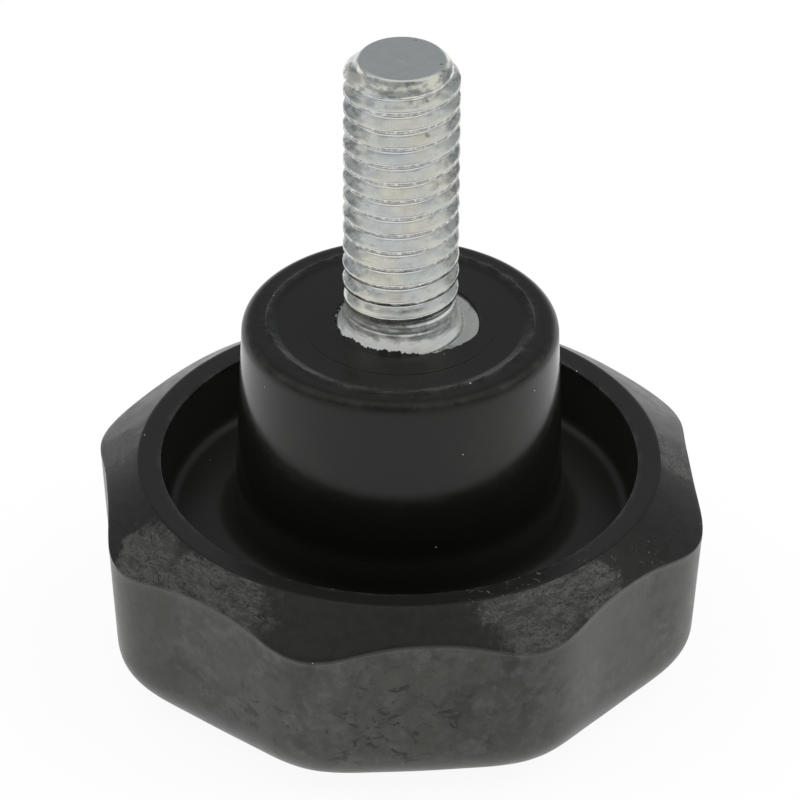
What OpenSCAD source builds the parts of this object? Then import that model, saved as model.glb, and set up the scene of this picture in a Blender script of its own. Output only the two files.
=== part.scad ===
// Star knob with a threaded stud: a lobed grip, a trough and a hub moulded in one
// piece round a turned steel insert. The knob stands on its grip, stud upwards.

/* [Grip] */
// Diameter over the tips of the lobes
grip_d = 31.95; // [30:0.05:36]
// Number of lobes round the grip
lobes = 8; // [6:1:9]
// Depth of the hollows between the lobes
hollow_depth = 1.06; // [0.4:0.02:1.4]
// Narrowing of the lobes, which widens the hollows
lobe_pinch = 0.07; // [0:0.01:0.12]
// Height from the standing face to the mouth of the trough
rim_h = 10.55; // [9.5:0.05:12]
// Draft of the side wall, in degrees
side_draft = 3.4; // [1:0.1:5]
// Share of the lobes' height that is left at the foot of the side wall
wall_keep = 0.94; // [0.8:0.01:1]
// Radius of the rounded edge round the standing face
base_round = 3.1; // [2:0.1:4]

/* [Crown] */
// Outer diameter of the smooth land round the trough
land_d = 26.55; // [26:0.05:27.4]
// Rise of the land from the mouth of the trough to its outer edge
land_rise = 0.15; // [0.1:0.05:0.4]
// Step from the land down to the crown
land_step = 0.1; // [0:0.02:0.2]
// Slope of the crown from the land down to the side wall, in degrees
crown_slope = 36; // [25:0.1:40]

/* [Trough] */
// Diameter of the trough at its mouth
trough_d = 24.3; // [24:0.1:25]
// Depth of the trough
trough_depth = 3.45; // [2.5:0.05:4.5]
// Draft of the trough's outer wall, in degrees
trough_draft = 4; // [1:0.5:6]
// Fillet between the trough's outer wall and its floor
trough_fillet = 0.6; // [0.3:0.05:1]

/* [Hub] */
// Diameter of the hub at its top
hub_d = 16; // [15:0.1:17]
// Height of the hub above the mouth of the trough
hub_rise = 8.3; // [6:0.1:10]
// Draft of the hub, in degrees
hub_draft = 2.1; // [1:0.1:3]
// Radius of the hub's top edge
hub_round = 0.65; // [0.3:0.05:1]
// Fillet at the foot of the hub
hub_fillet = 1.0; // [0.5:0.05:1.3]
// Diameter of the shallow recess in the hub's end
recess_d = 13.3; // [11:0.1:13.6]
// Depth of the recess
recess_depth = 0.12; // [0.05:0.01:0.4]

/* [Stud] */
// Diameter over the thread
stud_d = 5.9; // [5.8:0.01:6]
// Length of the stud above the hub's end
stud_len = 15.25; // [8:0.05:30]
// Diameter of the flat end of the stud
stud_end_d = 4.2; // [4:0.05:5]
// Height of the chamfer at the end of the stud
stud_point = 0.85; // [0.4:0.05:1.2]

/* [Insert] */
// Diameter of the collar that lies flush with the hub's end
collar_d = 8; // [7:0.1:9]
// Height of the collar
collar_h = 2; // [1:0.1:3]
// Diameter of the groove that keeps the insert from pulling out
groove_d = 6.4; // [6:0.1:7]
// Height of the groove
groove_h = 1.4; // [0.8:0.1:2]
// Height of the knurled barrel below the groove
knurl_h = 6; // [4:0.1:7]
// Number of teeth of the knurl
knurl_teeth = 24; // [16:1:30]
// Depth of the knurl
knurl_depth = 0.35; // [0.2:0.05:0.5]
// Chamfer at the buried end of the insert
insert_chamfer = 0.5; // [0.3:0.05:0.8]

/* [Hidden] */
$fn = 96;

// Points round the lobed outline, and rings in the rounded standing edge
outline_points = lobes * 28;
round_rings = 8;
fillet_steps = 6;

hub_top = rim_h + hub_rise;
end_face = hub_top - recess_depth;
trough_floor = rim_h - trough_depth;
insert_depth = collar_h + groove_h + knurl_h;

// Mean radius of the grip where the crown meets the side wall, and that height
grip_r = grip_d / 2 - hollow_depth / 2 - lobe_pinch;
crown_top = rim_h + land_rise - land_step;
edge_h = crown_top - (grip_r - land_d / 2) * tan(crown_slope);
// Radius of the blank that the turned form is cut from
blank_r = grip_d / 2 + 3;

// Height of the lobed wave at angle a, measured from the mean radius
function lobe_wave(a) = hollow_depth / 2 * cos(lobes * a) + lobe_pinch * cos(2 * lobes * a);

// One ring of the grip: the mean radius less inset, with a share keep of the wave
function grip_ring(z, inset, keep) = [
    for (i = [0 : outline_points - 1])
        let (a = 360 * i / outline_points, r = grip_r - inset + keep * lobe_wave(a))
        [r * cos(a), r * sin(a), z]
];

// How far the drafted side wall has moved inwards at height z
function wall_inset(z) = (edge_h - z) * tan(side_draft);

// An arc in the profile plane, from angle a0 to angle a1 about [x, z]
function arc(x, z, r, a0, a1) = [
    for (i = [0 : fillet_steps])
        let (a = a0 + (a1 - a0) * i / fillet_steps)
        [x + r * cos(a), z + r * sin(a)]
];

// Closes a stack of rings into a solid
module loft(rings) {
    n = len(rings[0]);
    last = len(rings) - 1;
    sides = [
        for (k = [0 : last - 1], i = [0 : n - 1])
            let (j = (i + 1) % n)
            [k * n + i, (k + 1) * n + i, (k + 1) * n + j, k * n + j]
    ];
    bottom = [[for (i = [0 : n - 1]) i]];
    top = [[for (i = [n - 1 : -1 : 0]) last * n + i]];
    polyhedron([for (ring = rings) for (p = ring) p], concat(bottom, sides, top), convexity = 6);
}

// The lobed side wall: full lobes at the crown, fading to a circle at the standing face
module grip_form() {
    start = base_round;
    rounded = [
        for (k = [0 : round_rings])
            let (a = 90 * (1 - k / round_rings), bend = 1 - cos(a))
            grip_ring(start - base_round * sin(a), wall_inset(start) + base_round * bend,
                      wall_keep * (1 - bend))
    ];
    loft(concat(rounded, [grip_ring(edge_h, 0, 1), grip_ring(hub_top + 1, wall_inset(hub_top + 1), 1)]));
}

// The turned form: crown, land, trough and hub in one profile about the axis
module turned_form() {
    wall_x = trough_d / 2 - trough_depth * tan(trough_draft);
    foot_x = hub_d / 2 + (hub_top - trough_floor) * tan(hub_draft);
    crown_drop = (blank_r - land_d / 2) * tan(crown_slope);
    profile = concat(
        [[0, -1], [blank_r, -1], [blank_r, crown_top - crown_drop], [land_d / 2, crown_top]],
        [[land_d / 2, rim_h + land_rise], [trough_d / 2, rim_h]],
        arc(wall_x - trough_fillet, trough_floor + trough_fillet, trough_fillet, -trough_draft, -90),
        arc(foot_x + hub_fillet, trough_floor + hub_fillet, hub_fillet, 270, 180 + hub_draft),
        arc(hub_d / 2 - hub_round, hub_top - hub_round, hub_round, hub_draft, 90),
        [[recess_d / 2, hub_top], [recess_d / 2, end_face], [0, end_face]]
    );
    rotate_extrude() polygon(profile);
}

// The straight knurl's cross section
module knurl_section() {
    tip_r = collar_d / 2;
    polygon([
        for (i = [0 : 2 * knurl_teeth - 1])
            let (a = 180 * i / knurl_teeth, r = i % 2 == 0 ? tip_r : tip_r - knurl_depth)
            [r * cos(a), r * sin(a)]
    ]);
}

// The buried part of the insert, hanging below z = 0
module insert_form() {
    barrel_top = -collar_h - groove_h;
    chamfer_r = collar_d / 2 - insert_chamfer;
    translate([0, 0, -collar_h]) cylinder(h = collar_h, d = collar_d);
    translate([0, 0, barrel_top - 0.5]) cylinder(h = groove_h + 1, d = groove_d);
    intersection() {
        translate([0, 0, -insert_depth]) linear_extrude(knurl_h) knurl_section();
        translate([0, 0, -insert_depth])
            cylinder(h = knurl_h + 1, r1 = chamfer_r, r2 = chamfer_r + knurl_h + 1);
    }
}

// Moulded grip, trough and hub, with the pocket that the insert fills
module knob_body() {
    color([0.05, 0.05, 0.05])
    difference() {
        intersection() {
            grip_form();
            turned_form();
        }
        translate([0, 0, end_face]) insert_form();
    }
}

// Turned steel stud with its collar and knurled barrel; the thread is left plain
module threaded_stud() {
    shank_h = stud_len + recess_depth - stud_point;
    color([0.78, 0.77, 0.74])
    translate([0, 0, end_face]) {
        insert_form();
        translate([0, 0, -0.5]) cylinder(h = shank_h + 0.5, d = stud_d);
        translate([0, 0, shank_h]) cylinder(h = stud_point, d1 = stud_d, d2 = stud_end_d);
    }
}

knob_body();
threaded_stud();
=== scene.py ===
# %% [markdown]
# # A lobed star knob, dressed for a picture
#
# The real knob is two pieces. A black thermoset moulding makes the lobed grip, the ring-shaped
# trough and the hub, and a zinc-plated steel stud with a rolled thread was laid in the mould
# first. The solids of both come ready-made from the frame, at their true size and place.
# Here we model the edges, the thread and the traces of moulding finely, and give each surface
# the finish that it has in the hand.

import math

import bmesh
import bpy
from mathutils import Matrix, Vector, noise


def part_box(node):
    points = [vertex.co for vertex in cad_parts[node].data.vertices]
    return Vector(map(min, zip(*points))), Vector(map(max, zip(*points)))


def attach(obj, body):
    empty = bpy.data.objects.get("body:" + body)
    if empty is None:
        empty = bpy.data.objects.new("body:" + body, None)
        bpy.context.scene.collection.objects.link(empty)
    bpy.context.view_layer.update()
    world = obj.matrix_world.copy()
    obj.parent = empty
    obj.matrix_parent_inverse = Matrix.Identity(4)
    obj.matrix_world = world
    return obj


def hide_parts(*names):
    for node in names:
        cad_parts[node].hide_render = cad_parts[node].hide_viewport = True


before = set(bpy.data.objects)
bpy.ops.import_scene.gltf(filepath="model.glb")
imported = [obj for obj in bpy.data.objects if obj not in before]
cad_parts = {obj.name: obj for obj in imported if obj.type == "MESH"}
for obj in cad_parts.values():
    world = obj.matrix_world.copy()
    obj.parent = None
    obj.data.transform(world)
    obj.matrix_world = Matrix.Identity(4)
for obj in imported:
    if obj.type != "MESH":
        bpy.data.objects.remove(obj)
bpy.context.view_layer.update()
print("nodes in the frame:", sorted(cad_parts))

# %% [markdown]
# ## Sizes
#
# The pieces are drawn in millimetres and turned into metres once, when they are finished. The
# heights and the collar's radius are read from the frame, so these can't drift away from the
# solids. The other sizes are the same named values that the solids were drawn with.

# %% Read the main sizes from the frame
METRES = 0.001

body_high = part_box("knob_body")[1]
stud_low, stud_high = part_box("threaded_stud")
hub_top = body_high.z / METRES
stud_top = stud_high.z / METRES
insert_foot = stud_low.z / METRES
collar_r = stud_high.x / METRES

lobes = 8
grip_d = 31.95
hollow_depth = 1.06
lobe_pinch = 0.07
grip_r = grip_d / 2 - hollow_depth / 2 - lobe_pinch

hub_rise = 8.3
recess_depth = 0.12
rim_z = hub_top - hub_rise
disc_z = hub_top - recess_depth

land_r = 13.275
land_rise = 0.15
land_step = 0.1
crown_slope = math.radians(36)
crown_z = rim_z + land_rise - land_step
edge_z = crown_z - (grip_r - land_r) * math.tan(crown_slope)

side_draft = math.radians(3.4)
base_round = 3.1
wall_keep = 0.94

print(f"hub top {hub_top:.2f}, stud top {stud_top:.2f}, grip radius {grip_r:.3f}, edge {edge_z:.2f} mm")

# %% [markdown]
# ## The camera
#
# A small object looks right through a long lens: the lens here is about six times a normal
# one. The camera stands 33 cm away and looks down by a little more than a third of a right
# angle. It is set up first, because every later choice is judged through it.

# %% Place the camera
CAMERA_TURN = math.radians(-72.52)
CAMERA_TILT = math.radians(33.616)
CAMERA_ROLL = math.radians(0.409)
CAMERA_DISTANCE = 332.2
CAMERA_LENS = 294.98
AIM_ASIDE = 0.012
AIM_ABOVE_RIM = 3.44

sideways = Vector((-math.sin(CAMERA_TURN), math.cos(CAMERA_TURN), 0))
outwards = Vector((math.cos(CAMERA_TURN), math.sin(CAMERA_TURN), 0))
backwards = outwards * math.cos(CAMERA_TILT) + Vector((0, 0, math.sin(CAMERA_TILT)))
aim = sideways * AIM_ASIDE + Vector((0, 0, rim_z + AIM_ABOVE_RIM))

camera_data = bpy.data.cameras.new("camera")
camera_data.lens = CAMERA_LENS
camera = bpy.data.objects.new("camera", camera_data)
camera.matrix_world = (
    Matrix.Translation((aim + backwards * CAMERA_DISTANCE) * METRES)
    @ Matrix((sideways, backwards.cross(sideways), backwards)).transposed().to_4x4()
    @ Matrix.Rotation(CAMERA_ROLL, 4, "Z")
)
bpy.context.scene.collection.objects.link(camera)
bpy.context.scene.camera = camera
bpy.context.scene.view_settings.view_transform = "Standard"
print("camera at", [round(c, 4) for c in camera.matrix_world.translation])

# %% [markdown]
# ## Helpers for turned shapes
#
# Both pieces are turned about one axis, so both start as half a section: a chain of corners in
# the XZ plane. A corner is rounded with a vertex bevel, which lays an arc between its two
# edges. The bevel is told how far along the edges it starts, so the radius that we want is
# turned into that distance with the tangent of half the turn.

# %% Draw, round and refine a section
def round_corner(bm, vert, radius, segments):
    """Rounds one corner of a chain with an arc of this radius."""
    before, after = (edge.other_vert(vert).co - vert.co for edge in vert.link_edges)
    turn = math.pi - before.angle(after)
    bmesh.ops.bevel(
        bm, geom=[vert], offset=radius * math.tan(turn / 2), offset_type="OFFSET",
        segments=segments, profile=0.5, affect="VERTICES", material=-1,
    )


def draw_section(bm, corners):
    """Joins corners into a chain; each is (radius, height), then its rounding and segments."""
    verts = [bm.verts.new((x, 0, z)) for x, z, *rounding in corners]
    for first, second in zip(verts, verts[1:]):
        bm.edges.new((first, second))
    for vert, (x, z, *rounding) in zip(verts, corners):
        if rounding:
            round_corner(bm, vert, *rounding)


def refine(bm, longest):
    """Cuts every edge of the chain into pieces no longer than longest(middle of the edge)."""
    for edge in list(bm.edges):
        middle = (edge.verts[0].co + edge.verts[1].co) / 2
        cuts = math.ceil(edge.calc_length() / longest(middle)) - 1
        if cuts > 0:
            bmesh.ops.subdivide_edges(bm, edges=[edge], cuts=cuts)


# %% [markdown]
# A full spin is closed with use_merge, and the points on the axis fall together in one pole.
# When a piece is finished its normals are worked out again, because a spin can leave a shape
# inside out.

# %% Spin a section and finish a piece
WELD = 0.0005


def spin_round(bm, steps):
    """Spins the whole chain once round the Z axis and closes the shell."""
    bmesh.ops.spin(
        bm, geom=bm.verts[:] + bm.edges[:], cent=(0, 0, 0), axis=(0, 0, 1), dvec=(0, 0, 0),
        angle=math.tau, steps=steps, use_merge=True, use_duplicate=False,
    )
    bmesh.ops.remove_doubles(bm, verts=bm.verts[:], dist=WELD)


def make_piece(bm, name):
    """Scales the mesh to metres and makes it an object that rides on the knob's one body."""
    bmesh.ops.recalc_face_normals(bm, faces=bm.faces[:])
    bmesh.ops.scale(bm, vec=(METRES, METRES, METRES), verts=bm.verts[:])
    for face in bm.faces:
        face.smooth = True
    mesh = bpy.data.meshes.new(name)
    bm.to_mesh(mesh)
    bm.free()
    piece = bpy.data.objects.new(name, mesh)
    bpy.context.scene.collection.objects.link(piece)
    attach(piece, "root")
    triangles = sum(len(polygon.vertices) - 2 for polygon in mesh.polygons)
    print(f"{name}: {len(mesh.vertices)} vertices, {triangles} triangles")
    return piece


# %% [markdown]
# ## The moulding: its section
#
# The real moulding comes out of a two-part steel mould. Everything inside the parting line is
# round: the crown, the land, the trough and the hub. So we draw the section once, with the
# corners that the mould has, and round each corner by its own small radius. These little arcs
# are what catches the light on a real moulding.

# %% Size the moulding
trough_r = 12.15
trough_depth = 3.45
trough_draft = math.radians(4)
trough_fillet = 0.6
mouth_round = 0.08
land_round = 0.3
hub_r = 8.0
hub_draft = math.radians(2.1)
hub_round = 0.65
hub_fillet = 1.0
ledge = 0.02
ledge_drop = 0.28
ledge_round = 0.04
ridge_r = 6.7
ridge_h = 0.045
ridge_half = 0.04
ridge_outer = 0.09
ridge_outer_round = 0.04
ridge_inner_round = 0.06
ridge_foot_round = 0.03
dish_slope = 0.48
dish_round = 0.15
film_r = collar_r + 0.9
seat_slope = 0.15
seat_drop = 0.07
clearance = 0.02

floor_z = rim_z - trough_depth
trough_wall_r = trough_r - trough_depth * math.tan(trough_draft)
hub_foot_r = hub_r + (hub_top - floor_z) * math.tan(hub_draft)
hub_edge_r = hub_r - hub_round * math.tan(hub_draft)
foot_r = grip_r - edge_z * math.tan(side_draft)
ledge_z = edge_z - ledge_drop
ridge_top = hub_top + ridge_h
seat_z = disc_z - seat_drop
pocket_r = collar_r + clearance
pocket_z = insert_foot - clearance
print(f"trough floor {floor_z:.2f}, foot of the hub {hub_foot_r:.2f}, standing face {foot_r:.2f} mm")

# %% [markdown]
# The corners run from the middle of the standing face outwards, over the crown, through the
# trough, up the hub and down into the pocket that the insert fills. Each has a radius and a
# height, and a rounded one also has its rounding and a number of segments.

# %% Draw the section of the moulding
moulding = bmesh.new()
draw_section(moulding, [
    (0, 0),
    (foot_r - ledge, 0, base_round, 16),
    (grip_r - ledge, ledge_z, ledge_round, 2),
    (grip_r, ledge_z + ledge),
    (grip_r, edge_z, ledge_round, 4),
    (land_r, crown_z, land_round, 5),
    (trough_r, rim_z, mouth_round, 5),
    (trough_wall_r, floor_z, trough_fillet, 8),
    (hub_foot_r, floor_z, hub_fillet, 10),
    (hub_edge_r, hub_top, hub_round, 14),
    (ridge_r + ridge_outer, hub_top, ridge_foot_round, 2),
    (ridge_r + ridge_half, ridge_top, ridge_outer_round, 2),
    (ridge_r - ridge_half, ridge_top, ridge_inner_round, 3),
    (ridge_r - dish_slope, disc_z, dish_round, 3),
    (film_r - seat_slope, disc_z),
    (film_r - 2 * seat_slope, seat_z),
    (pocket_r, seat_z),
    (pocket_r, pocket_z),
    (0, pocket_z),
])
print("section of the moulding:", len(moulding.verts), "points")


# %% [markdown]
# The long stretches are cut into short ones before the spin. That keeps the shading true next
# to each small arc, and it gives the lobes enough points to bend. The standing face and the
# pocket round the insert are hidden, so wide pieces will do there.

# %% Refine and spin the moulding
SHOWN_SPACING = 0.3
HIDDEN_SPACING = 1.5
STEPS_A_LOBE = 40
TOUCH = 0.01
pocket_mouth_z = disc_z - 0.2


def moulding_spacing(place):
    """Longest edge of the section here: wide apart where nothing shows, close on the outside."""
    in_pocket = place.x < pocket_r + TOUCH and place.z < pocket_mouth_z
    return HIDDEN_SPACING if in_pocket or place.z < TOUCH else SHOWN_SPACING


refine(moulding, moulding_spacing)
spin_round(moulding, lobes * STEPS_A_LOBE)
print("spun moulding:", len(moulding.faces), "faces")

# %% [markdown]
# ## The moulding: its worn ridge
#
# A low ridge runs round the dish in the hub's end. It was drawn round and even, but the real
# one is a burr that the mould left and that handling has worn down. Two sizes of noise lift
# and lower its points, a few hundredths of a millimetre each.

# %% Make the ridge uneven
ridge_reach = 0.3
RIDGE_RIPPLES = ((2.4, 0.03), (8.0, 0.015))


def ripple(place, sizes):
    """The sum of some noises, each given as its waves per millimetre and its height."""
    return sum(height * noise.noise(place * waves) for waves, height in sizes)


for vert in moulding.verts:
    radius = math.hypot(vert.co.x, vert.co.y)
    if abs(radius - ridge_r) < ridge_reach and vert.co.z > disc_z + TOUCH:
        vert.co.z += ripple(vert.co, RIDGE_RIPPLES)
ridge_points = [v.co.z for v in moulding.verts if v.co.z > hub_top]
print(f"ridge: up to {max(ridge_points) - hub_top:.3f} mm above the hub's end")

# %% [markdown]
# ## The moulding: marks for its finish
#
# The finish differs from one stretch of the section to the next. The hub's side is polished,
# the crown and the hub's end are satin, the land and the trough are dull, and the side wall is
# clouded. While the shell is still round, each point can say where it belongs by its height
# and radius, so we write that down now in four attributes, and the material reads them later.
# A fifth one marks three edges, each with a place, a width and a strength, where the colour
# turns paler: partly wear and partly a painted highlight.

# %% Mark the stretches of the shell
mark_gap = 0.05
split_z = ledge_z + mark_gap
hub_reach_r = hub_foot_r + 0.2
edge_inset = 0.2
SATIN_DEPTHS = (1.2, 0.4)
DULL_DEPTHS = (0.1, 1.2)
# The paler colour on these edges is partly wear and partly a painted highlight.
WORN_AND_HIGHLIT_EDGES = (
    (trough_r, rim_z, 0.12, 1.0),
    (ridge_r, ridge_top, 0.16, 0.8),
    (hub_edge_r - edge_inset, hub_top - edge_inset, 0.3, 0.35),
)


def smooth(low, high, value):
    """A soft step from 0 at low to 1 at high, and low may be the larger one."""
    share = min(1, max(0, (value - low) / (high - low)))
    return share * share * (3 - 2 * share)


def wear_and_highlight(radius, height):
    """Wear and painted highlight from 0 to 1: strongest on a corner, gone a width away from it."""
    near = (
        most * (1 - math.hypot(radius - r, height - z) / width) for r, z, width, most in WORN_AND_HIGHLIT_EDGES
    )
    return max(0, *near)


def is_outside(radius, height):
    """True on the crown, the side wall and the standing face, which the lobes reach."""
    return radius > land_r or height < base_round


side_mark, crown_mark, hub_mark, trough_mark, wear_and_highlight_mark = (
    moulding.verts.layers.float.new(name) for name in ("side", "crown", "hub", "trough", "wear_and_highlight")
)
for vert in moulding.verts:
    radius = math.hypot(vert.co.x, vert.co.y)
    height = vert.co.z
    below_rim = smooth(*DULL_DEPTHS, rim_z - height)
    vert[side_mark] = float(is_outside(radius, height) and height < split_z)
    vert[crown_mark] = float(radius > land_r + mark_gap and height > split_z)
    vert[hub_mark] = smooth(*SATIN_DEPTHS, hub_top - height)
    vert[trough_mark] = below_rim if radius < hub_reach_r else float(radius < land_r)
    vert[wear_and_highlight_mark] = wear_and_highlight(radius, height)
print("worn points:", sum(vert[wear_and_highlight_mark] > 0 for vert in moulding.verts))

# %% [markdown]
# ## The moulding: its lobes
#
# The grip has eight soft lobes. Two cosines make their outline: one gives the lobes, and one at
# double the rate narrows them. The crown is a cone, so where a lobe reaches further out the
# parting line also drops, and this wavy line is what gives the knob its character. We push each
# point of the round shell to where the lobed one has it: along the cone on the crown, and along
# the drafted wall below, fading to a plain circle at the face that the knob stands on.

# %% Work out how far a point moves
cone_rate = math.tan(crown_slope)
draft_rate = math.tan(side_draft)
fade_rate = (1 - wall_keep) / (edge_z - base_round)
base_arc_r = grip_r - (edge_z - base_round) * draft_rate - base_round
crown_full_r = grip_r - 0.1


def wave(angle):
    """Reach of the lobed outline beyond its mean radius."""
    return hollow_depth / 2 * math.cos(lobes * angle) + lobe_pinch * math.cos(2 * lobes * angle)


def lobe_shift(radius, height, angle):
    """How far a point of the round shell moves outwards and upwards."""
    reach = wave(angle)
    drop = reach / (1 / cone_rate + draft_rate + fade_rate * reach)
    if height > ledge_z:
        share = min(1, max(0, (radius - land_r) / (crown_full_r - land_r)))
        return share * drop / cone_rate, -share * drop
    if height > base_round:
        fall = drop * (height - base_round) / (ledge_z - base_round)
        keep = 1 - fade_rate * (edge_z - height + fall)
        return keep * reach - fall * draft_rate, -fall
    share = min(1, max(0, (radius - base_arc_r) / base_round))
    return wall_keep * reach * share, 0


print(f"a lobe reaches {wave(0):+.3f} mm, and a hollow {wave(math.pi / lobes):+.3f} mm")

# %% [markdown]
# Each point on the outside is moved once, straight out from the axis and up or down. The widest
# point should then agree with the frame's, and printing both is a quick test of the formula.

# %% Push the round shell out into lobes
for vert in moulding.verts:
    radius = math.hypot(vert.co.x, vert.co.y)
    if is_outside(radius, vert.co.z):
        outward, upward = lobe_shift(radius, vert.co.z, math.atan2(vert.co.y, vert.co.x))
        flat = Vector((vert.co.x, vert.co.y, 0)).normalized()
        vert.co += flat * outward + Vector((0, 0, upward))
print("radius at a lobe's tip:", round(max(v.co.x for v in moulding.verts), 3), "mm")
print("and in the frame:", round(body_high.x / METRES, 3), "mm")

knob = make_piece(moulding, "knob_moulding")
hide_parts("knob_body")

# %% [markdown]
# ## The skin of flash over the collar
#
# When the knob is pressed, a film of the plastic creeps over the steel collar and tears off
# with a ragged edge. It is part of the moulding, but it needs much finer points than the rest,
# so it is a ring of its own. The reach of the film is a soft curve round the stud, and noise
# frays its edge. At the front it climbs the flared foot of the stud a little.

# %% Say where the film ends
film_thickness = 0.012
flare_h = 1.0
flare_out = 0.38
shank_r = 2.83
flare_r = shank_r + flare_out

flash_r = 3.45
flash_lean = 0.6
flash_oval = 0.2
lean_turn = math.radians(55)
oval_turn = math.radians(20)
clean_r = 3.95
ragged_rate = 2.2
least_ragged = 0.06
climb_limit = 0.6
past_collar = 0.05
BITE_SHIFT = Vector((3.1, 0.4, 7.7))
COARSE_BITES = (1.7, 0.17)
FINE_BITES = ((5.5, 0.16), (14.0, 0.08))


def flare_height(radius):
    """Height of the stud's flared foot above the disc at this radius."""
    share = min(1, max(0, (radius - shank_r) / flare_out))
    return flare_h * (1 - math.sqrt(share))


def flash_reach(angle):
    """Radius at which the film ends, before it is frayed: furthest in at the front left."""
    far = flash_r + flash_lean * math.cos(angle - lean_turn)
    return far + flash_oval * math.cos(2 * (angle - oval_turn))


def fray(angle, radius):
    """Ragged teeth along the film's edge, from coarse bites to fine ones."""
    place = Vector((math.cos(angle), math.sin(angle), 0)) * radius
    waves, depth = COARSE_BITES
    return depth * noise.noise(place * waves + BITE_SHIFT) + ripple(place, FINE_BITES)


def film_edge(angle):
    """The frayed radius: it climbs the flare at the front and stops at the collar's own edge."""
    reach = flash_reach(angle)
    ragged = min(1, max(least_ragged, (clean_r - reach) * ragged_rate))
    frayed = reach + fray(angle, reach) * ragged
    return min(collar_r + past_collar, frayed + climb_limit * max(0, flare_r - frayed))


edge_radii = [film_edge(math.radians(degrees)) for degrees in range(360)]
print(f"the film ends between {min(edge_radii):.2f} and {max(edge_radii):.2f} mm from the axis")

# %% [markdown]
# The film starts as a thin circle of edges that is sunk just under the dish. Rows are extruded
# from it, each a share of the way in to the frayed edge and a little higher or lower. The
# first keeps a sharp edge, and the last comes down to the steel, so that no gap shows.

# %% Pull the film inwards row by row
flash_steps = 1080
collar_z = disc_z - 0.05
FILM_ROWS = ((0.005, 0.001), (0.5, 0.002), (0.88, 0.004), (0.98, -0.001), (1.0, -0.048))


def grow(bm, edges, place):
    """Extrudes a row from the open edge; place(angle) gives each point's radius and height."""
    grown = bmesh.ops.extrude_edge_only(bm, edges=edges)["geom"]
    for vert in (item for item in grown if isinstance(item, bmesh.types.BMVert)):
        angle = math.atan2(vert.co.y, vert.co.x)
        radius, height = place(angle)
        vert.co = (radius * math.cos(angle), radius * math.sin(angle), height)
    return [item for item in grown if isinstance(item, bmesh.types.BMEdge)]


def film_row(share, rise):
    """A row of the film, a share of the way in; it lies on the flare where that is higher."""
    lift = film_thickness if share < 1 else -film_thickness

    def place(angle):
        radius = film_r + (film_edge(angle) - film_r) * share
        return radius, disc_z + max(rise, flare_height(radius) + lift)
    return place


film = bmesh.new()
bmesh.ops.create_circle(film, cap_ends=False, radius=film_r, segments=flash_steps)
for vert in film.verts:
    vert.co.z = collar_z
row = film.edges[:]
for number, (share, rise) in enumerate(FILM_ROWS):
    row = grow(film, row, film_row(share, rise))
    if number == 0:
        for edge in row:
            edge.smooth = False
bmesh.ops.remove_doubles(film, verts=film.verts[:], dist=WELD / 10)
film_hub_mark = film.verts.layers.float.new("hub")
for vert in film.verts:
    vert[film_hub_mark] = 1.0
flash = make_piece(film, "flash_skin")

# %% [markdown]
# ## The stud: its thread
#
# The stud's thread was rolled: hard dies pressed the grooves in and pushed the crests out. One
# tooth of the section is enough to make it. Its crest is narrow and softly rounded, and where
# the metal closed up as it was pushed out, a fine seam runs along the middle. A mark on the
# section's points carries that seam through the spin and into the material.

# %% Draw one tooth of the thread
pitch = 1.0
crest_r = 2.908
root_r = 2.36
root_flat = 0.14
root_round = 0.11
crest_round = 0.08
flank_rise = (crest_r - root_r) * math.tan(math.radians(30))
tooth_spacing = 0.12
seam_reach = 0.1

tooth = bmesh.new()
draw_section(tooth, [
    (root_r, 0),
    (root_r, root_flat / 2, root_round, 3),
    (crest_r, root_flat / 2 + flank_rise, crest_round, 4),
    (crest_r, pitch - root_flat / 2 - flank_rise, crest_round, 4),
    (root_r, pitch - root_flat / 2, root_round, 3),
    (root_r, pitch),
])
refine(tooth, lambda place: tooth_spacing)
seam_mark = tooth.verts.layers.float.new("seam")
for vert in tooth.verts:
    vert[seam_mark] = max(0, 1 - abs(vert.co.z - pitch / 2) / seam_reach)
print("section of one tooth:", len(tooth.verts), "points")

# %% [markdown]
# The spin that turned the moulding can also move along the axis at each step, so here it sweeps
# the tooth up one turn of the helix. The end of that turn is exactly the start of the next, so
# copies stacked a pitch apart can be welded into one long skin, which is far quicker. Two
# values place the helix: at the angle helix_turn from the X axis, one of the crests stands at
# the height crest_at_turn.

# %% Sweep one turn and stack the turns
steps_a_turn = 144
thread_turns = 17
thread_sunk = 1.2
helix_turn = math.radians(197.48)
crest_at_turn = 25.35

bmesh.ops.spin(
    tooth, geom=tooth.verts[:] + tooth.edges[:], cent=(0, 0, 0), axis=(0, 0, 1),
    dvec=(0, 0, pitch / steps_a_turn), angle=math.tau,
    steps=steps_a_turn, use_merge=False, use_duplicate=False,
)
one_turn = tooth.verts[:] + tooth.edges[:] + tooth.faces[:]
for number in range(1, thread_turns):
    copied = bmesh.ops.duplicate(tooth, geom=one_turn)["geom"]
    moved = [item for item in copied if isinstance(item, bmesh.types.BMVert)]
    bmesh.ops.translate(tooth, verts=moved, vec=(0, 0, pitch * number))
bmesh.ops.remove_doubles(tooth, verts=tooth.verts[:], dist=WELD)

thread_base = disc_z - thread_sunk
turned_crest = crest_at_turn - pitch / 2 - pitch * helix_turn / math.tau
start = thread_base + (turned_crest - thread_base) % pitch - pitch
bmesh.ops.translate(tooth, verts=tooth.verts[:], vec=(0, 0, start))
print("swept thread:", len(tooth.faces), "faces, from", round(start, 2), "mm upwards")

# %% [markdown]
# ## The stud: point, run-out and foot
#
# At the top the blank was chamfered before it was rolled, so the first turns fade into a cone.
# At the foot the dies stopped short of the collar, so the grooves fade out into the plain
# shank, which flares into the collar with a fillet and two fine turning marks. All of this
# only changes the radius, so one function says what radius each point may have. The crests
# also get a few tiny nicks and swellings, as they knock against other parts in the bin.

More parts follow.
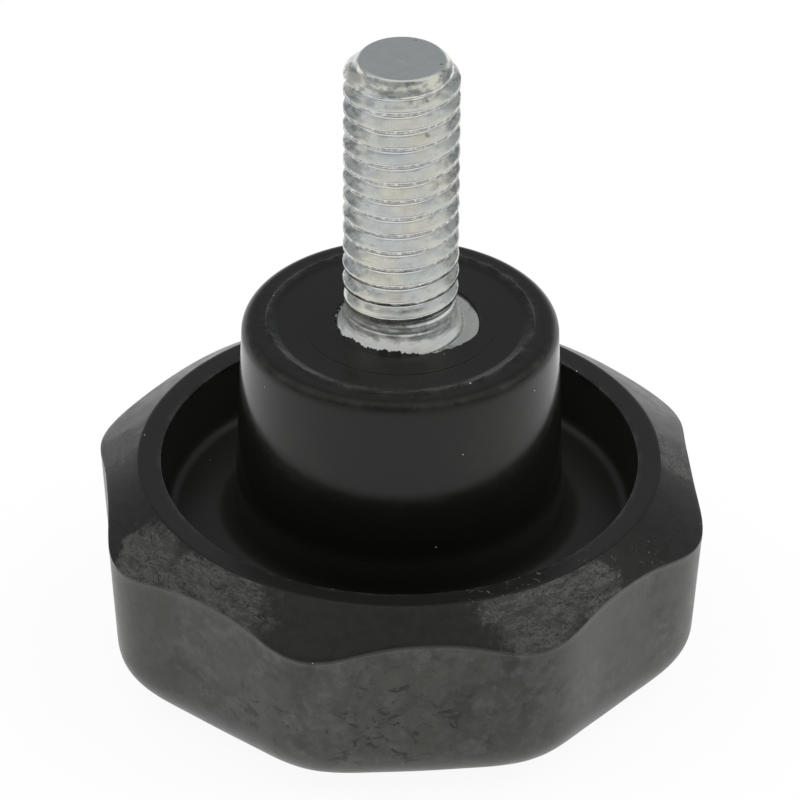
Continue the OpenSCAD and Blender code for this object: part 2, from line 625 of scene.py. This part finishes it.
# %% Shape the point and the run-out
point_r = 2.12
point_round = 0.25
point_blend = 0.06
imprint = 0.3
imprint_from = 0.05
imprint_full = 0.45
runout_low = 1.3
runout_high = 2.5
seam_band = 0.05
knocked_band = 0.12
TOOL_RINGS = ((1.02, 0.03, 0.05), (1.32, 0.015, 0.08))
CREST_RIPPLES = ((4.0, 0.012), (11.0, 0.01))


def stud_radius(radius, height):
    """The radius that a point of the swept thread gets at this height."""
    above = height - disc_z
    shaped = shank_r + (radius - shank_r) * smooth(runout_low, runout_high, above)
    for ring_height, depth, width in TOOL_RINGS:
        shaped -= depth * math.exp(-(((above - ring_height) / width) ** 2))
    if above < flare_h:
        shaped += flare_out * (1 - max(0, above) / flare_h) ** 2
    below_tip = stud_top - height
    cone = point_r + below_tip
    cone -= imprint * smooth(imprint_from, imprint_full, below_tip) * (crest_r - radius)
    gap = max(0, point_blend - abs(shaped - cone)) / point_blend
    return min(shaped, cone) - gap * gap * point_blend / 4


for vert in tooth.verts:
    radius = math.hypot(vert.co.x, vert.co.y)
    shaped = stud_radius(radius, vert.co.z)
    vert[seam_mark] *= smooth(crest_r - seam_band, crest_r, shaped)
    shaped += ripple(vert.co, CREST_RIPPLES) * smooth(crest_r - knocked_band, crest_r, shaped)
    vert.co.x *= shaped / radius
    vert.co.y *= shaped / radius
widest = max(math.hypot(v.co.x, v.co.y) for v in tooth.verts if v.co.z > disc_z + runout_high)
print(f"diameter over the crests: {2 * widest:.2f} mm")

# %% [markdown]
# ## The stud: its ends
#
# A cut square to the axis ends the sweep cleanly and leaves an open circle. Rows grow from that
# circle as they did for the film, but all of them are round, except for those of the knurl.

# %% Cut the shell and describe a round row
def cut(bm, height, keep_below):
    """Cuts the shell square to the axis, keeps one side and returns the new open edge."""
    found = bmesh.ops.bisect_plane(
        bm, geom=bm.verts[:] + bm.edges[:] + bm.faces[:], dist=0.00001,
        plane_co=(0, 0, height), plane_no=(0, 0, 1),
        clear_outer=keep_below, clear_inner=not keep_below,
    )
    return [item for item in found["geom_cut"] if isinstance(item, bmesh.types.BMEdge)]


def ring(radius, height):
    """A plain round row."""
    return lambda angle: (radius, height)


# %% [markdown]
# The upper end gets a small rounding in steps of five degrees, and then rows that lead
# inwards over the end face and down into the centre mark that the lathe left there.

# %% Close the point
CENTRE_MARK = (
    (1.9, 0.002), (1.3, 0.006), (0.8, 0.012), (0.42, 0.015), (0.34, 0.018), (0.26, 0.03),
    (0.18, 0.04), (0.1, 0.044), (0.05, 0.045), (0.0, 0.045),
)

round_r = point_r + point_round * (1 - math.sqrt(2))
point_edge = cut(tooth, stud_top - point_round * (1 - math.sqrt(0.5)), True)
for degrees in range(50, 95, 5):
    around, along = math.cos(math.radians(degrees)), math.sin(math.radians(degrees))
    place = ring(round_r + point_round * around, stud_top - point_round * (1 - along))
    point_edge = grow(tooth, point_edge, place)
for radius, drop in CENTRE_MARK:
    point_edge = grow(tooth, point_edge, ring(radius, stud_top - drop))
print("flat end of the stud:", round(2 * round_r, 2), "mm across")

# %% [markdown]
# The lower end leads outwards over the collar and down its rim. The moulding hides what
# follows: the groove that keeps the insert from pulling out, and the knurled barrel.

# %% Close the collar and the buried barrel
rim_round = 0.05
collar_h = 2
groove_h = 1.4
groove_r = 3.2
knurl_teeth = 24
knurl_depth = 0.35
knurl_r = collar_r - 0.01
insert_chamfer = 0.5
collar_foot = disc_z - collar_h
barrel_top = collar_foot - groove_h


def knurl(height, tip_r):
    """A row with the teeth of the straight knurl."""

    def place(angle):
        across = (angle / math.tau * knurl_teeth + 0.5) % 1
        return tip_r - knurl_depth * (1 - abs(2 * across - 1)), height
    return place


collar_rows = [ring(radius, collar_z) for radius in (3.3, 3.6, collar_r - rim_round)]
collar_rows += [ring(collar_r, collar_z - rim_round), ring(collar_r, collar_foot)]
barrel_rows = [ring(groove_r, collar_foot), ring(groove_r, barrel_top), knurl(barrel_top, knurl_r)]
barrel_rows += [knurl(insert_foot + insert_chamfer, knurl_r)]
barrel_rows += [knurl(insert_foot, collar_r - insert_chamfer), ring(0, insert_foot)]

collar_edge = cut(tooth, collar_z, False)
for place in collar_rows + barrel_rows:
    collar_edge = grow(tooth, collar_edge, place)
bmesh.ops.remove_doubles(tooth, verts=tooth.verts[:], dist=WELD)
print("open edges left on the stud:", sum(edge.is_boundary for edge in tooth.edges))

stud = make_piece(tooth, "threaded_stud_rolled")
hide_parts("threaded_stud")

# %% [markdown]
# ## Helpers for finishes
#
# A finish is a small graph of nodes, and a few helpers keep the graphs short to read. The
# first adds a node and plugs in its inputs. The others mix two colours, turn a value into a
# soft mask, and do the sums.

# %% Helpers that combine values
def add(tree, kind, inputs=None, **settings):
    """Adds a node; an input is a plain value, or the socket of another node to link."""
    made = tree.nodes.new(kind)
    for name, value in settings.items():
        setattr(made, name, value)
    for name, value in (inputs or {}).items():
        if isinstance(value, bpy.types.NodeSocket):
            tree.links.new(value, made.inputs[name])
        else:
            made.inputs[name].default_value = value
    return made


def mixed(tree, share, first, second, kind="RGBA"):
    """A mix of two colours, or of two values with kind FLOAT; the sockets go by number."""
    first_socket, second_socket, result = (6, 7, 2) if kind == "RGBA" else (2, 3, 0)
    inputs = {0: share, first_socket: first, second_socket: second}
    return add(tree, "ShaderNodeMix", inputs, data_type=kind).outputs[result]


def between(tree, share, first, second):
    """A value between two others."""
    return mixed(tree, share, first, second, "FLOAT")


def mask(tree, value, low, high):
    """A soft mask: 0 on low's side and 1 on high's side, and low may be the larger one."""
    inputs = {"Value": value, "From Min": low, "From Max": high}
    made = add(tree, "ShaderNodeMapRange", inputs, interpolation_type="SMOOTHSTEP")
    return made.outputs["Result"]


def maths(tree, operation, first, second=0.0):
    """One sum, difference or comparison of two values."""
    made = add(tree, "ShaderNodeMath", {0: first, 1: second}, operation=operation, use_clamp=False)
    return made.outputs[0]


def product(tree, first, *others):
    """The product of two values or more."""
    for other in others:
        first = maths(tree, "MULTIPLY", first, other)
    return first


def inverse(tree, value):
    """The inverse of a mask: 0 where it is 1."""
    return maths(tree, "SUBTRACT", 1.0, value)


# %% [markdown]
# Patterns need a place. It is measured in millimetres on the object, so that the scale of a
# noise is simply its number of waves per millimetre. Handling draws marks out along the way
# round a knob, and so does turning on a stud, so one kind of noise is stretched that way.

# %% Helpers that read places and make patterns
def attribute(tree, name):
    """The value that a piece's mesh carries under this name."""
    return add(tree, "ShaderNodeAttribute", attribute_name=name).outputs["Fac"]


def in_millimetres(tree):
    """Object coordinates in millimetres, so that a scale is a count per millimetre."""
    place = add(tree, "ShaderNodeTexCoord").outputs["Object"]
    scale = {"Vector": place, "Scale": (1 / METRES, 1 / METRES, 1 / METRES)}
    return add(tree, "ShaderNodeMapping", scale).outputs["Vector"]


def height_of(tree, place):
    """The height of a place, or of a direction."""
    return add(tree, "ShaderNodeSeparateXYZ", {"Vector": place}).outputs["Z"]


def noisy(tree, place, scale, detail=3.0, roughness=0.55, distortion=0.0):
    """Noise at this many waves per millimetre."""
    inputs = {"Vector": place, "Scale": scale, "Detail": detail}
    inputs |= {"Roughness": roughness, "Distortion": distortion}
    return add(tree, "ShaderNodeTexNoise", inputs).outputs["Fac"]


def brushed(tree, place, scale, stretch, detail, distortion=0.0):
    """Noise drawn out along the way round the axis; the radius is its fourth coordinate."""
    vector = "ShaderNodeVectorMath"
    squeeze = {0: place, 1: (1 / stretch, 1 / stretch, 1)}
    squeezed = add(tree, vector, squeeze, operation="MULTIPLY").outputs[0]
    flat = add(tree, vector, {0: place, 1: (1, 1, 0)}, operation="MULTIPLY").outputs[0]
    radius = add(tree, vector, {0: flat}, operation="LENGTH").outputs["Value"]
    inputs = {"Vector": squeezed, "W": radius, "Scale": scale, "Detail": detail}
    inputs |= {"Roughness": 0.68, "Distortion": distortion}
    return add(tree, "ShaderNodeTexNoise", inputs, noise_dimensions="4D").outputs["Fac"]


# %% [markdown]
# ## Shared effects
#
# Dust and clouding turn up in both finishes, each at its own size, so each is a node group with
# named inputs that is built once. Dust sits in the cells of a Voronoi pattern: a cell has a
# speck only if its random colour is low, and the speck is what lies close to the cell's point.

# %% Build the node groups
def new_group(name, inputs, output):
    """An empty group with value inputs, a Vector input, and one value output."""
    tree = bpy.data.node_groups.new(name, "ShaderNodeTree")
    tree.interface.new_socket("Vector", in_out="INPUT", socket_type="NodeSocketVector")
    for label, value in inputs.items():
        socket = tree.interface.new_socket(label, in_out="INPUT", socket_type="NodeSocketFloat")
        socket.default_value = value
    tree.interface.new_socket(output, in_out="OUTPUT", socket_type="NodeSocketFloat")
    return tree, tree.nodes.new("NodeGroupInput").outputs, tree.nodes.new("NodeGroupOutput").inputs


def use_group(tree, group, **inputs):
    """Places a group in a material with its own values and returns its output."""
    return add(tree, "ShaderNodeGroup", inputs, node_tree=group).outputs[0]


dust, given, result = new_group("dust", {"Scale": 1.0, "Size": 0.05, "Share": 0.2}, "Speck")
cells = add(dust, "ShaderNodeTexVoronoi", {"Vector": given["Vector"], "Scale": given["Scale"]})
lonely = maths(dust, "LESS_THAN", cells.outputs["Color"], given["Share"])
close = maths(dust, "LESS_THAN", cells.outputs["Distance"], given["Size"])
dust.links.new(product(dust, lonely, close), result["Speck"])

clouding, given, result = new_group("clouding", {"Scale": 0.3, "Low": 0.4, "High": 0.7}, "Cloud")
billows = noisy(clouding, given["Vector"], given["Scale"], 6.0, 0.62, 0.35)
clouding.links.new(mask(clouding, billows, given["Low"], given["High"]), result["Cloud"])
print("groups:", [group.name for group in bpy.data.node_groups])

# %% [markdown]
# ## The moulding's finish: where it is marked
#
# Pressed thermoset is black right through, and shiny where the mould was polished. This knob
# has been handled in a bin with others, and each kind of mark has its places. The scuffs lie
# on the crown, most of them on the two lobes in front. The scratches are on the side wall, the
# frayed fibres at the mouth of the trough, and the smears on the hub. A spot has a centre and
# a reach in millimetres, and near_any turns a list of spots into one value.

# %% List the marks of use
SCUFFS = (
    ((-4.8, -13.9, 9.2), 3.4),
    ((-7.2, -12.6, 9.4), 2.4),
    ((-9.6, -11.2, 9.2), 2.8),
    ((10.2, -9.9, 9.6), 3.4),
    ((12.5, -7.2, 9.8), 2.2),
    ((-14.6, -2.6, 9.6), 2.4),
    ((12.9, 5.2, 9.9), 2.2),
)
SCRATCHED = (
    ((4.6, -14.6, 4.4), 5.2),
    ((-2.4, -15.0, 3.6), 3.4),
)
FRAYED = (
    ((7.9, -10.2, 10.4), 1.9),
    ((9.5, -8.6, 10.4), 1.9),
    ((12.1, -5.9, 10.2), 1.8),
    ((14.2, -3.1, 9.9), 1.3),
)
SMEARED = (
    ((-3.6, -7.6, 14.6), 3.2),
    ((7.1, -4.9, 15.8), 3.6),
    ((-7.8, -1.4, 16.0), 2.8),
)


def near_any(tree, place, spots):
    """1 at the middle of the nearest spot, and 0 and less a reach away from it."""
    nearest = None
    for centre, reach in spots:
        away = add(tree, "ShaderNodeVectorMath", {0: place, 1: centre}, operation="DISTANCE")
        near = inverse(tree, maths(tree, "DIVIDE", away.outputs["Value"], reach))
        nearest = near if nearest is None else maths(tree, "MAXIMUM", nearest, near)
    return nearest


print("spots:", len(SCUFFS + SCRATCHED + FRAYED + SMEARED))

# %% [markdown]
# The material reads back what the shell's points know about themselves. Three noises of
# rising fineness and one brushed noise come next, because several patterns share them.

# %% Start the moulding's finish
def new_finish(name):
    """A material with its tree, its Principled shader and the place in millimetres."""
    material = bpy.data.materials.new(name)
    material.use_nodes = True
    tree = material.node_tree
    return material, tree, tree.nodes["Principled BSDF"], in_millimetres(tree)


thermoset, tree, shader, place = new_finish("thermoset_black")
side, crown, hub, trough = (attribute(tree, name) for name in ("side", "crown", "hub", "trough"))
# This attribute marks edges that are partly worn and partly given a painted highlight.
worn_and_highlit = attribute(tree, "wear_and_highlight")
level = height_of(tree, place)
sunk = product(tree, trough, mask(tree, level, rim_z - 0.1, rim_z - 0.5))

coarse = noisy(tree, place, 0.9, 5.0, 0.65)
middle = noisy(tree, place, 2.3, 5.0, 0.7)
grainy = noisy(tree, place, 7.0, 4.0, 0.7)
streaks = brushed(tree, place, 2.6, 2.6, 5.0, 0.4)
print("marks and shared noises:", len(tree.nodes), "nodes")

# %% [markdown]
# ## The moulding's finish: scuffs, clouds and dust
#
# A scuff is a patch with a ragged outline, so noise is added to the nearness before it becomes
# a mask. Inside, the plastic is rubbed to a pale crust with fine streaks, and thin gouges cut
# it where a noise passes through its middle value. The clouds of the side wall are three
# sizes of clouding on top of each other, and the dents are dark squiggles among them.

# %% Make the patterns of use
def weighted(tree, *terms):
    """The sum of some values, each times its weight."""
    total = 0.0
    for value, weight in terms:
        total = maths(tree, "ADD", total, product(tree, value, weight))
    return total


raggedness = ((near_any(tree, place, SCUFFS), 1.0), (coarse, 1.0), (middle, 0.5))
patch = product(tree, mask(tree, weighted(tree, *raggedness), 0.84, 1.16), crown)
crust = product(tree, mask(tree, streaks, 0.38, 0.6), mask(tree, grainy, 0.3, 0.6))
crust = maths(tree, "ADD", product(tree, crust, 0.7), 0.3)
gouges = maths(tree, "SUBTRACT", brushed(tree, place, 1.1, 2.6, 3.0, 1.2), 0.5)
gouged = mask(tree, maths(tree, "ABSOLUTE", gouges), 0.0, 0.02)
scuff = product(tree, patch, product(tree, crust, gouged))

clouds = use_group(tree, clouding, Vector=place, Scale=0.2, Low=0.38, High=0.62)
blots = use_group(tree, clouding, Vector=place, Scale=0.75, Low=0.44, High=0.58)
flecks = use_group(tree, clouding, Vector=place, Scale=1.9, Low=0.5, High=0.58)
cloudy = weighted(tree, (clouds, 0.4), (blots, 0.35), (flecks, 0.25))
yellowed = use_group(tree, clouding, Vector=place, Scale=0.28, Low=0.44, High=0.56)

scratched = mask(tree, near_any(tree, place, SCRATCHED), 0.05, 0.5)
dented = maths(tree, "ADD", product(tree, scratched, 0.8), 0.12)
squiggles = mask(tree, brushed(tree, place, 1.15, 1.8, 5.0, 1.4), 0.54, 0.63)
dents = product(tree, squiggles, side, dented)

smears = mask(tree, near_any(tree, place, SMEARED), 0.0, 0.8)
smears = product(tree, smears, mask(tree, middle, 0.3, 0.8), inverse(tree, trough))

specks = use_group(tree, dust, Vector=place, Scale=0.8, Size=0.03, Share=0.4)
chips = use_group(tree, dust, Vector=place, Scale=2.2, Size=0.1, Share=0.2)
chips = product(tree, chips, mask(tree, worn_and_highlit, 0.3, 0.4))
fibres = mask(tree, noisy(tree, place, 3.2, 2.0, 0.6, 1.2), 0.62, 0.7)
frayed = product(tree, mask(tree, near_any(tree, place, FRAYED), 0.1, 0.5), 0.2)
specks = maths(tree, "MAXIMUM", specks, chips)
specks = maths(tree, "MAXIMUM", specks, product(tree, fibres, frayed))
print("patterns of use:", len(tree.nodes), "nodes so far")

# %% [markdown]
# ## The moulding's finish: its colours
#
# The plastic itself is almost black everywhere. The grey is laid over the black one after another:
# the haze of the side wall, the scuffs, the paler edges, which are partly wear and partly a
# painted highlight, and the dust. Even the palest of them, apart from dust, gives back less than
# a tenth of the light.

# %% Mix the moulding's colour
BLACK = (0.0066, 0.0068, 0.0058, 1)
DULL = (0.0105, 0.0105, 0.0100, 1)
DUSTY = (0.0145, 0.0145, 0.0125, 1)
HAZE_LOW = (0.024, 0.024, 0.0232, 1)
HAZE_HIGH = (0.088, 0.088, 0.0865, 1)
YELLOWED = (0.049, 0.0495, 0.039, 1)
SCUFFED = (0.07, 0.07, 0.0685, 1)
SMEAR = (0.016, 0.016, 0.014, 1)
# Paler colour on three edges: partly wear, partly a painted highlight.
WORN_AND_HIGHLIGHT = (0.06, 0.06, 0.058, 1)
DUST = (0.42, 0.42, 0.40, 1)

haze = mixed(tree, cloudy, HAZE_LOW, HAZE_HIGH)
haze = mixed(tree, product(tree, yellowed, 0.6), haze, YELLOWED)
haze = mixed(tree, dents, haze, DULL)
colour = mixed(tree, crown, BLACK, mixed(tree, mask(tree, middle, 0.35, 0.65), BLACK, DULL))
colour = mixed(tree, trough, colour, mixed(tree, sunk, DULL, DUSTY))
colour = mixed(tree, side, colour, haze)
colour = mixed(tree, smears, colour, SMEAR)
colour = mixed(tree, scuff, colour, SCUFFED)
# The paler edges: partly wear, partly a painted highlight, strongest at the trough's mouth.
colour = mixed(tree, product(tree, worn_and_highlit, mask(tree, coarse, 0.4, 0.7)), colour, WORN_AND_HIGHLIGHT)
colour = mixed(tree, specks, colour, DUST)
print("colour:", len(tree.nodes), "nodes so far")

# %% [markdown]
# ## The moulding's finish: its sheen
#
# A black surface shows mostly what it mirrors, so the roughness tells more than the colour: it
# is low on the polished hub and the worn edges, higher on the satin crown, and highest on
# clouds, scuffs and dust. A very low relief keeps the mirror images from looking drawn.

# %% Set the moulding's roughness and relief
SHEEN = 0.32
POLISHED = (0.13, 0.2)
SATIN = (0.26, 0.36)
LAND_AND_TROUGH = (0.29, 0.34)
CLOUDED = (0.28, 0.42)
RUBBED = (0.4, 0.6)
WORN_BRIGHT = 0.14
SMEARED_OVER = 0.2
DUSTED = 0.8
GRAIN_HEIGHT = 0.03
SKIN_HEIGHT = 0.003
POCK_HEIGHT = 0.006


def plug_in(tree, shader, colour, roughness, relief):
    """Gives the shader its colour, its roughness and a bump from a relief in millimetres."""
    bump = add(tree, "ShaderNodeBump", {"Height": relief, "Distance": METRES, "Strength": 1.0})
    sockets = {"Base Color": colour, "Roughness": roughness, "Normal": bump.outputs[0]}
    for label, socket in sockets.items():
        tree.links.new(socket, shader.inputs[label])


polished = between(tree, mask(tree, streaks, 0.45, 0.7), *POLISHED)
satin = between(tree, mask(tree, coarse, 0.3, 0.7), *SATIN)
roughness = between(tree, maths(tree, "MAXIMUM", crown, hub), polished, satin)
roughness = between(tree, trough, roughness, between(tree, sunk, *LAND_AND_TROUGH))
roughness = between(tree, worn_and_highlit, roughness, WORN_BRIGHT)
roughness = between(tree, smears, roughness, SMEARED_OVER)
roughness = between(tree, side, roughness, between(tree, cloudy, *CLOUDED))
roughness = between(tree, patch, roughness, between(tree, scuff, *RUBBED))
roughness = between(tree, specks, roughness, DUSTED)

grain = product(tree, grainy, product(tree, patch, GRAIN_HEIGHT))
skin = product(tree, noisy(tree, place, 0.7, 2.0), SKIN_HEIGHT)
pocked = product(tree, middle, POCK_HEIGHT, maths(tree, "MAXIMUM", crown, side))
relief = maths(tree, "ADD", maths(tree, "ADD", grain, skin), pocked)

plug_in(tree, shader, colour, roughness, relief)
shader.inputs["Specular IOR Level"].default_value = SHEEN
for piece in (knob, flash):
    piece.data.materials.append(thermoset)
print("thermoset finish:", len(tree.nodes), "nodes")

# %% [markdown]
# ## The stud's finish: its patterns
#
# Zinc plating is a bright, slightly soft mirror with a cool tone, and a thin chromate film
# lends it patches of cream. Darker mottled streaks lie over it at the point and at the foot,
# and as painted shade where the surface turns away from us, at the sides of the stud, while the
# end face stays clean. The seam along the crests holds a dark line that breaks off here and there.

# %% Make the patterns of the plating
zinc, tree, shader, place = new_finish("zinc_plating")
seam = attribute(tree, "seam")
height = height_of(tree, place)
facing = add(tree, "ShaderNodeLayerWeight", {"Blend": 0.5}).outputs["Facing"]
end_face = mask(tree, height, stud_top - 0.12, stud_top - 0.02)
point = mask(tree, height, stud_top - 1.3, stud_top - 0.8)
foot = mask(tree, height, disc_z + 1.9, disc_z + 1.3)
on_thread = maths(tree, "SUBTRACT", mask(tree, height, disc_z + 0.3, disc_z + 0.8), end_face)

patches = mask(tree, noisy(tree, place, 0.45, 1.0), 0.35, 0.65)
patches = product(tree, patches, inverse(tree, end_face))
unevenness = noisy(tree, place, 1.8, 0.0)
# Painted shade: the darker mottles grow where the surface turns away from the camera, at the stud's
# sides; at the point and the foot they go by height.
painted_side_shade_and_ends = maths(tree, "MAXIMUM", mask(tree, facing, 0.2, 0.42), maths(tree, "MAXIMUM", point, foot))
mottled = mask(tree, brushed(tree, place, 2.4, 1.6, 2.0), 0.46, 0.6)
mottled = product(tree, mottled, product(tree, painted_side_shade_and_ends, on_thread))
stains = use_group(tree, clouding, Vector=place, Scale=1.1, Low=0.62, High=0.74)
pits = use_group(tree, dust, Vector=place, Scale=1.1, Size=0.14, Share=0.12)
broken = mask(tree, noisy(tree, place, 4.5, 3.0, 0.7), 0.25, 0.6)
dark_seam = product(tree, mask(tree, seam, 0.25, 0.5), broken)
print("patterns of the plating:", len(tree.nodes), "nodes so far")

# %% [markdown]
# ## The stud's finish: its colours and sheen
# The base colour of a metal tints what it mirrors, so clean zinc is pale, and the mottles, which
# at the sides are painted shade, the stains and the seam are darker. At the foot the flare was
# only turned and has a duller skin, so it is rougher there and not quite as metallic. The end
# face was cut smooth, so its relief is lower than the thread's.

# %% Mix the stud's finish
COOL_ZINC = (0.72, 0.74, 0.74, 1)
WARM_ZINC = (0.78, 0.77, 0.72, 1)
# Darker mottles, and painted shade at the stud's sides.
DARK_MOTTLE_AND_SHADE = (0.36, 0.39, 0.40, 1)
STAIN = (0.36, 0.34, 0.27, 1)
SEAM = (0.19, 0.19, 0.18, 1)
PLATED = (0.2, 0.3)
TURNED = 0.34
METALLIC = (0.96, 0.7)
RELIEF_HEIGHTS = (0.03, 0.004)

colour = mixed(tree, patches, COOL_ZINC, WARM_ZINC)
# Darker mottles, painted shade where the stud turns away from the camera.
colour = mixed(tree, product(tree, mottled, 0.85), colour, DARK_MOTTLE_AND_SHADE)
colour = mixed(tree, product(tree, stains, 0.5), colour, STAIN)
colour = mixed(tree, product(tree, pits, 0.8), colour, STAIN)
colour = mixed(tree, product(tree, dark_seam, 0.8), colour, SEAM)

flared = product(tree, foot, mask(tree, height, disc_z, disc_z + 0.1))
roughness = between(tree, mask(tree, unevenness, 0.35, 0.65), *PLATED)
roughness = between(tree, flared, roughness, TURNED)
metallic = between(tree, flared, *METALLIC)
relief = product(tree, unevenness, between(tree, end_face, *RELIEF_HEIGHTS))

plug_in(tree, shader, colour, roughness, relief)
tree.links.new(metallic, shader.inputs["Metallic"])
stud.data.materials.append(zinc)
print("zinc finish:", len(tree.nodes), "nodes")

# %% [markdown]
# ## The floor
#
# The knob stands on a wide pale sheet. Lamps alone would leave it a little grey, so for the
# camera, and for what shiny pieces mirror, most of it is a plain white of strength 1. The rest
# stays a real matte surface, which takes the knob's shadow.

# %% Lay the floor
FLOOR_HALF = 3.0
WHITE_SHARE = 0.93


def light_path_share(tree, share):
    """The share for camera, mirror and glass rays, and 0 for the rays that light the scene."""
    rays = add(tree, "ShaderNodeLightPath").outputs
    seen = maths(tree, "MAXIMUM", rays["Is Camera Ray"], rays["Is Glossy Ray"])
    seen = maths(tree, "MAXIMUM", seen, rays["Is Transmission Ray"])
    return product(tree, seen, share)


floor_mesh = bmesh.new()
bmesh.ops.create_grid(floor_mesh, x_segments=1, y_segments=1, size=FLOOR_HALF)
floor_data = bpy.data.meshes.new("floor")
floor_mesh.to_mesh(floor_data)
floor_mesh.free()
floor = bpy.data.objects.new("floor", floor_data)
bpy.context.scene.collection.objects.link(floor)

paper = bpy.data.materials.new("paper")
paper.use_nodes = True
tree = paper.node_tree
tree.nodes.clear()
matte = add(tree, "ShaderNodeBsdfDiffuse", {"Color": (0.9, 0.9, 0.9, 1)})
white = add(tree, "ShaderNodeEmission", {"Color": (1, 1, 1, 1), "Strength": 1.0})
share = light_path_share(tree, WHITE_SHARE)
both = add(tree, "ShaderNodeMixShader", {0: share, 1: matte.outputs[0], 2: white.outputs[0]})
add(tree, "ShaderNodeOutputMaterial", {"Surface": both.outputs[0]})
floor_data.materials.append(paper)
print("floor:", round(2 * FLOOR_HALF, 2), "m wide")

# %% [markdown]
# ## Light
#
# Black plastic and plated steel show mostly what they mirror, so the room comes first. It is
# grey, and brighter near the horizon in front and behind, with a pale band that runs overhead
# from the left to the right.

# %% Light the room
HORIZON_BEHIND = (0.8, 0.8, 0.8, 1)
HORIZON_IN_FRONT = (0.78, 0.78, 0.77, 1)
ROOM_GREY = (0.305, 0.32, 0.325, 1)
OVERHEAD_BAND = (0.765, 0.76, 0.705, 1)

world = bpy.data.worlds.new("room")
bpy.context.scene.world = world
world.use_nodes = True
tree = world.node_tree
tree.nodes.clear()
direction = add(tree, "ShaderNodeTexCoord").outputs["Generated"]
height = height_of(tree, direction)
forward = {0: direction, 1: outwards}
forward = add(tree, "ShaderNodeVectorMath", forward, operation="DOT_PRODUCT").outputs["Value"]
beside = mask(tree, maths(tree, "ABSOLUTE", forward), 0.48, 0.22)
overhead = product(tree, beside, mask(tree, height, 0.2, 0.55))
front = mask(tree, forward, 0.3, 0.6)
glow = mixed(tree, front, HORIZON_BEHIND, HORIZON_IN_FRONT)
risen = between(tree, front, mask(tree, height, 0.03, 0.3), mask(tree, height, 0.25, 0.55))
room = mixed(tree, risen, glow, ROOM_GREY)
room = mixed(tree, overhead, room, OVERHEAD_BAND)
background = add(tree, "ShaderNodeBackground", {"Color": room, "Strength": 1.0})
add(tree, "ShaderNodeOutputWorld", {"Surface": background.outputs[0]})
print("room:", len(tree.nodes), "nodes")

# %% [markdown]
# Two soft boxes hang at the ends of the band, where they light the floor and the clouded side
# wall. They are hidden from mirror rays, because the band already stands for them there.

# %% Hang the soft boxes
BOX_DISTANCE = 0.5
BOX_SIZE = (0.6, 0.5)


def hang_box(name, turn, tilt, radiance):
    """A soft box that looks at the hub from this side of the camera and height, in degrees."""
    lamp = bpy.data.lights.new(name, "AREA")
    lamp.shape = "RECTANGLE"
    lamp.size, lamp.size_y = BOX_SIZE
    lamp.energy = radiance * math.pi * BOX_SIZE[0] * BOX_SIZE[1]
    box = bpy.data.objects.new(name, lamp)
    around = CAMERA_TURN + math.radians(turn)
    rise = math.radians(tilt)
    flat = math.cos(rise)
    towards = Vector((math.cos(around) * flat, math.sin(around) * flat, math.sin(rise)))
    spot = Vector((0, 0, rim_z * METRES))
    facing = towards.to_track_quat("Z", "Y").to_matrix().to_4x4()
    box.matrix_world = Matrix.Translation(spot + towards * BOX_DISTANCE) @ facing
    box.visible_glossy = False
    bpy.context.scene.collection.objects.link(box)


hang_box("soft_box_left", -112, 50, 1.42)
hang_box("soft_box_right", 108, 44, 1.95)
